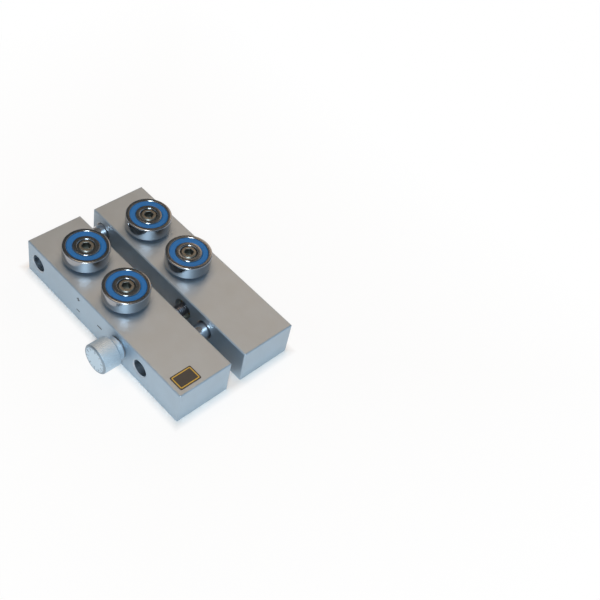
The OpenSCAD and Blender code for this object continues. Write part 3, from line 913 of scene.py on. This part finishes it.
def dial_parts():
    """Numerals and strokes round the end face: number k stands at k tenths of a turn, clockwise,
    with its foot towards the centre."""
    start = axis_of("knob")[0]
    face = start[1] + FACE_STEP - PAINT_STEP / 2
    stroke = plate_mesh("stroke", rectangle(TICK_WIDTH, TICK_LENGTH), PRINT_THICKNESS)
    parts = []
    for k in range(DIAL_COUNT):
        for mesh, radius, turn in (
            (digit_mesh(str(k), DIGIT_HEIGHT, PRINT_THICKNESS), DIGIT_RADIUS, k),
            (stroke, TICK_RADIUS, k + 0.5),
        ):
            angle = -TURN * turn / DIAL_COUNT
            middle = facing_front(start[0], face, start[2], angle)
            parts.append((mesh, middle @ Matrix.Translation((0, radius, 0))))
    return parts


dial_mesh = joined("dial_numbers", dial_parts())
dial = finish_piece("dial_numbers", dial_mesh, dial_grey, "knob_and_spindle")
print("dial numbers:", DIAL_COUNT, "faces:", len(dial.data.polygons))

# %% [markdown]
# ### Marks on the front face
# The index line beside the knob lies in its engraved groove, and a small plus and minus tell which
# way the jaws open. They are thin plates like the strokes, in a darker paint.

# %% Index line and jaw marks
INDEX_LENGTH, INDEX_STROKE = 3.2 * MM, 0.8 * MM
INDEX_GAP = 4.4 * MM
MARK_SIZE, MARK_STROKE = 2.3 * MM, 0.6 * MM
MARK_X = -16.0 * MM
PLUS_Z, MINUS_Z = 13.9 * MM, 6.2 * MM
MARK_ROUND = 0.1 * MM
LINE_THICKNESS, LINE_SUNK = 0.14 * MM, 0.06 * MM


def front_marks():
    """Index line in its groove, and the plus and minus above each other."""
    front = box_of("front_block")[0][1]
    start, radius, _ = axis_of("knob")
    line_x = start[0] - radius - INDEX_GAP - INDEX_LENGTH / 2
    line = plate_mesh("line", rectangle(INDEX_LENGTH, INDEX_STROKE), LINE_THICKNESS)
    bar = plate_mesh("bar", rectangle(MARK_SIZE, MARK_STROKE, MARK_ROUND), PAINT_STEP)
    post = plate_mesh("post", rectangle(MARK_STROKE, MARK_SIZE, MARK_ROUND), PAINT_STEP)
    skin = front - PAINT_STEP / 4
    return [
        (line, facing_front(line_x, front + LINE_SUNK, start[2])),
        (bar, facing_front(MARK_X, skin, PLUS_Z)),
        (post, facing_front(MARK_X, skin - PAINT_STEP / 4, PLUS_Z)),
        (bar, facing_front(MARK_X, skin, MINUS_Z)),
    ]


marks_mesh = joined("front_marks", front_marks())
marks = finish_piece("front_marks", marks_mesh, mark_grey, "front_jaw")
print("front marks faces:", len(marks.data.polygons))

# %% [markdown]
# ## The rollers
# Each roller is a standard sealed ball bearing, 8 by 22 by 7 mm, on a dark axle screwed into its
# jaw. A close look shows a rounded rim, a flat steel face, a narrow dark groove, the blue seal with
# a low bead near its edge, the inner ring with chamfers at both edges, and the axle's chamfered top
# with a hexagon socket. Booleans on cylinders could give that, but a turned profile lets each edge
# keep its own small radius. The outer ring and both seals turn together, so each rides on the
# roller's rim body.

# %% Profiles of the rings
RIM_ROUND = 0.75 * MM
RING_EDGE = 0.05 * MM
SEAT_RADIUS = 9.15 * MM
SHOULDER_OUT = 8.75 * MM
SHOULDER_IN = 6.25 * MM
BORE_RADIUS = 4.0 * MM
SEAL_THICKNESS = 0.75 * MM
SEAL_STEP = 0.15 * MM
TRACK_RADIUS = 7.5 * MM
BALL_RADIUS = 1.9845 * MM
BALL_GAP = 0.04 * MM


def track_arc(outward, steps=10):
    """Points of the ball track on one ring's wall, from the bottom up: the arc of the ball's circle
    between the two heights where it meets the shoulder."""
    wall = SHOULDER_OUT if outward else SHOULDER_IN
    r = BALL_RADIUS + BALL_GAP
    half = math.acos(abs(wall - TRACK_RADIUS) / r)
    t = np.linspace(-half, half, steps)
    out = TRACK_RADIUS + r * np.cos(t) * (1 if outward else -1)
    return np.column_stack([out, r * np.sin(t)])


def outer_ring_profile(width, radius):
    """Outer ring about its middle height, counterclockwise."""
    half = width / 2
    seat = half - SEAL_STEP - SEAL_THICKNESS
    lead = SEAT_RADIUS + SEAL_STEP
    corners = [
        (SHOULDER_OUT, -seat), (SEAT_RADIUS, -seat), (SEAT_RADIUS, SEAL_STEP - half), (lead, -half),
        (radius, -half), (radius, half), (lead, half), (SEAT_RADIUS, half - SEAL_STEP),
        (SEAT_RADIUS, seat), (SHOULDER_OUT, seat),
    ]
    rounding = np.full(len(corners), RING_EDGE)
    rounding[4:6] = RIM_ROUND
    outline = softened(corners, rounding, closed=True, steps=7)
    return np.vstack([outline, track_arc(True)[::-1]])


def inner_ring_profile(width):
    """Inner ring about its middle height, counterclockwise, with chamfers at bore and shoulder."""
    half, c, bore, shoulder = width / 2, SMALL_CHAMFER, BORE_RADIUS, SHOULDER_IN
    bottom = [(bore, c - half), (bore + c, -half), (shoulder - c, -half), (shoulder, c - half)]
    top = [(shoulder, half - c), (shoulder - c, half), (bore + c, half), (bore, half - c)]
    track = track_arc(False).tolist()
    rounding = np.array([SOFT] * 4 + [0.0] * len(track) + [SOFT] * 4)
    return softened(bottom + track + top, rounding, closed=True, steps=3)


print("radius of the ball track, mm:", round((BALL_RADIUS + BALL_GAP) / MM, 3))

# %% Profile of a seal
SEAL_GAP = 0.02 * MM
LIP_GAP = 0.1 * MM
BEAD = 0.1 * MM
LIP_LOW, LIP_HIGH = 0.4, 0.7
LIP_FOOT, LIP_TOP = 0.45 * MM, 0.5 * MM
EDGE_DROP = 0.35 * MM
STEP_IN, STEP_DROP = 0.24 * MM, 0.12 * MM
BEAD_OUT, BEAD_IN, BEAD_FOOT = 0.3 * MM, 0.52 * MM, 0.65 * MM
SEAL_SOFT = 0.07 * MM


def seal_profile():
    """Seal with its outer side up: thin lip at the shaft, flat blue face, low bead, outer edge."""
    inner, outer = SHOULDER_IN + LIP_GAP, SEAT_RADIUS - SEAL_GAP
    t = SEAL_THICKNESS
    corners = [
        (inner, LIP_LOW * t), (inner + LIP_FOOT, 0), (outer, 0), (outer, t - EDGE_DROP),
        (outer - STEP_IN, t - STEP_DROP), (outer - BEAD_OUT, t + BEAD),
        (outer - BEAD_IN, t + BEAD), (outer - BEAD_FOOT, t), (inner + LIP_TOP, t),
        (inner, LIP_HIGH * t),
    ]
    return softened(corners, SEAL_SOFT, closed=True, steps=4)


print("seal band, mm:", round((SEAT_RADIUS - SHOULDER_IN) / MM, 2))

# %% [markdown]
# ## The blue seals
# The seals are moulded rubber over a steel disc, matt and a clear mid blue. A plain plastic shader
# would do from afar. Close up, rubber has a soft, pebbled skin and a slightly lighter blush where
# it has been handled, so a fine noise drives the bump and a broad one the colour.

# %% Seal rubber
RUBBER = {
    "metallic": 0.0, "change": 0.05, "depth": 0.006 * MM, "strength": 0.5,
    "scale": 1 / (0.11 * MM), "shine": 0.3,
}
blue_rubber = grained("blue_seal_rubber", (0.014, 0.137, 0.375), 0.5, **RUBBER)
print("rubber:", blue_rubber.name)

# %% [markdown]
# ### Four rollers from one function
# The axle is a skin whose radius becomes a hexagon inside its socket. The flat faces of the rings
# take a satin steel whose darker colour is painted shade for the dim room that they mirror, while
# the walls keep the brighter ground steel.

# %% Axle
SOCKET_FLATS = 4.0 * MM
SOCKET_DEPTH = 3.2 * MM
AXLE_CHAMFER = 0.7 * MM
SEAT_GAP = 0.02 * MM
SHANK_CHAMFER = 0.5 * MM
SHANK_RADIUS = 3.0 * MM
SOCKET_MOUTH = 0.12 * MM
DRILL_POINT = 0.5 * MM


def axle_rings(node):
    """Shank, shouldered pin and chamfered top, then the hexagon socket: on its rows the radius is
    half the flats over the cosine of the angle to the nearest flat's middle."""
    low, high = box_of(node)
    seat = box_of("front_block")[1][2]
    shank, pin = SHANK_RADIUS, BORE_RADIUS - SEAT_GAP
    top, foot = high[2], low[2]
    widest = SOCKET_FLATS / 2 / math.cos(TURN / 12) + 2 * SOCKET_MOUTH
    outline = softened([
        (0, foot), (shank - SHANK_CHAMFER, foot), (shank, foot + SHANK_CHAMFER), (shank, seat),
        (pin, seat), (pin, top - AXLE_CHAMFER), (pin - AXLE_CHAMFER, top), (widest, top),
    ], SOFT)
    angle = TURN * np.arange(AROUND) / AROUND
    hexagon = SOCKET_FLATS / 2 / np.cos((angle % (TURN / 6)) - TURN / 12)
    mouth, floor = top - SOCKET_MOUTH, top - SOCKET_DEPTH
    radii = np.vstack([
        outline[:, :1] * np.ones((1, AROUND)),
        hexagon + SOCKET_MOUTH, hexagon, hexagon, np.zeros(AROUND),
    ])
    heights = np.concatenate([outline[:, 1], [top, mouth, floor, floor - DRILL_POINT]])
    centre = (low + high) / 2
    centre[2] = 0
    return turn_rings(radii, heights, centre)


print("rings of an axle:", len(axle_rings("front_left_axle")))

# %% Balls
BALL_SHARP = 60


def balls_mesh(name, centre, count=7, rows=13, around=20):
    """Balls on the track's circle, each with points (r sin b cos a, r sin b sin a, -r cos b)."""
    b = np.pi * np.arange(rows) / (rows - 1)
    radii = np.repeat(BALL_RADIUS * np.sin(b)[:, None], around, 1)
    parts = []
    for k in range(count):
        a = TURN * k / count
        place = centre + TRACK_RADIUS * np.array([math.cos(a), math.sin(a), 0])
        rings = turn_rings(radii, -BALL_RADIUS * np.cos(b), place)
        parts.append((lay_skin("ball", rings, "pole"), Matrix()))
    return joined(name, parts)


print("ball's diameter, mm:", round(2 * BALL_RADIUS / MM, 3))

# %% One roller, four times
ROLLERS = ("front_left", "front_right", "back_left", "back_right")


def make_roller(roller):
    """All pieces of one roller, each in its node's place. The lower seal is the upper one mirrored,
    with its points in reversed order so that they still run counterclockwise. Walls are the faces
    whose normal is nearer to level than to upright."""
    jaw, rim = roller.split("_")[0] + "_jaw", roller + "_rim"
    low, high = box_of(roller + "_outer_ring")
    centre, width, radius = (low + high) / 2, high[2] - low[2], (high[0] - low[0]) / 2
    ring = outer_ring_profile(width, radius)
    seal = seal_profile() + (0, width / 2 - SEAL_STEP - SEAL_THICKNESS)
    low, high = box_of(roller + "_spacer")
    size, foot = high - low, np.array([centre[0], centre[1], low[2]])
    spacer = turned_profile(BORE_RADIUS, size[0] / 2, size[2], THIN_CHAMFER, SOFT)
    made = {}
    for part, profile, place, body, material, slot in (
        ("outer_ring", ring, centre, rim, shaded_face_metal, "bearing_steel"),
        ("inner_ring", inner_ring_profile(width), centre, jaw, shaded_face_metal, "bearing_steel"),
        ("seal_top", seal, centre, rim, blue_rubber, "blue_seal"),
        ("seal_bottom", seal[::-1] * (1, -1), centre, rim, blue_rubber, "blue_seal"),
        ("spacer", spacer, foot, jaw, rod_metal, "ground_steel"),
    ):
        name = f"{roller}_{part}"
        mesh = turned_mesh(name + "_turned", profile, place)
        made[part] = finish_piece(name + "_turned", mesh, material, body, (name,))
    outer = made["outer_ring"]
    # Walls get the brighter steel; the flat faces keep the darker copy, whose darkness is painted
    # shade.
    second_finish(outer, ring_metal, np.abs(face_values(outer, "normal")[:, 2]) < 0.5**0.5)
    axle, balls = roller + "_axle", roller + "_balls"
    axle_mesh = lay_skin(axle, axle_rings(axle), "pole")
    finish_piece(axle + "_turned", axle_mesh, axle_metal, jaw, (axle,))
    finish_piece(
        balls + "_ground", balls_mesh(balls, centre), ball_metal, roller + "_ball_set",
        (balls,), BALL_SHARP,
    )


for roller in ROLLERS:
    make_roller(roller)
rim_size = np.ptp(box_of("front_left_outer_ring"), axis=0)
print("rollers:", len(ROLLERS), "rim diameter, mm:", round(rim_size[0] / MM, 2))

# %% [markdown]
# ## The foil at the corner
# A small printed foil sits near the front jaw's right corner. Here it is left without any print but
# a plain border: a thin charcoal plate with rounded corners and an ochre line just inside its edge.
# A texture could draw that line, but a second thin solid stays crisp in a close view.

# %% Corner foil
FOIL_ROUND = 0.8 * MM
BORDER_INSET, BORDER_WIDTH = 0.55 * MM, 0.5 * MM
charcoal_print = grained("charcoal_print", (0.045, 0.043, 0.038), 0.38, **PAINTED)
ochre_print = grained("ochre_print", (0.52, 0.33, 0.05), 0.42, **PAINTED)


def make_foil():
    """The plate in its node's place, and on it a closed frame between two rounded outlines."""
    low, high = box_of("corner_label")
    size, middle = high - low, (low + high) / 2
    plate = plate_mesh("foil", rectangle(size[0], size[1], FOIL_ROUND), size[2])
    plate.transform(Matrix.Translation(middle))
    finish_piece("corner_foil", plate, charcoal_print, "front_jaw", ("corner_label",))
    outer = rectangle(*(size[:2] - 2 * BORDER_INSET), FOIL_ROUND)
    inner = rectangle(*(size[:2] - 2 * (BORDER_INSET + BORDER_WIDTH)), FOIL_ROUND / 2)
    h = PAINT_STEP / 2
    rings = [raised(inner, -h), raised(outer, -h), raised(outer, h), raised(inner, h)]
    border = lay_skin("border", rings, "round")
    border.transform(Matrix.Translation((middle[0], middle[1], high[2])))
    finish_piece("corner_foil_border", border, ochre_print, "front_jaw")
    print("foil, mm:", [round(x / MM, 2) for x in size])


make_foil()

# %% [markdown]
# ## Pieces that stay as they are
# The locking screws, the spindle's bush and the cages keep the shapes of their nodes. They only
# need their metals. A node has no UV map, so the turned finish would find no rings on it, and the
# blasted kind with its even grain is used instead.

# %% Finishes of the remaining nodes
black_oxide = grained("black_oxide_steel", (0.055, 0.058, 0.062), 0.32, **BLASTED)
bush_bronze = grained("bush_bronze", (0.50, 0.34, 0.19), 0.42, **BLASTED)
KEPT = {
    "rod_screw_left": black_oxide, "rod_screw_right": black_oxide, "knob_screw": black_oxide,
    "spindle_bush": bush_bronze,
    **{roller + "_cage": cage_metal for roller in ROLLERS},
}
for node, material in KEPT.items():
    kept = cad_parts[node]
    kept.data.materials.clear()
    kept.data.materials.append(material)
print("nodes kept:", len(KEPT))
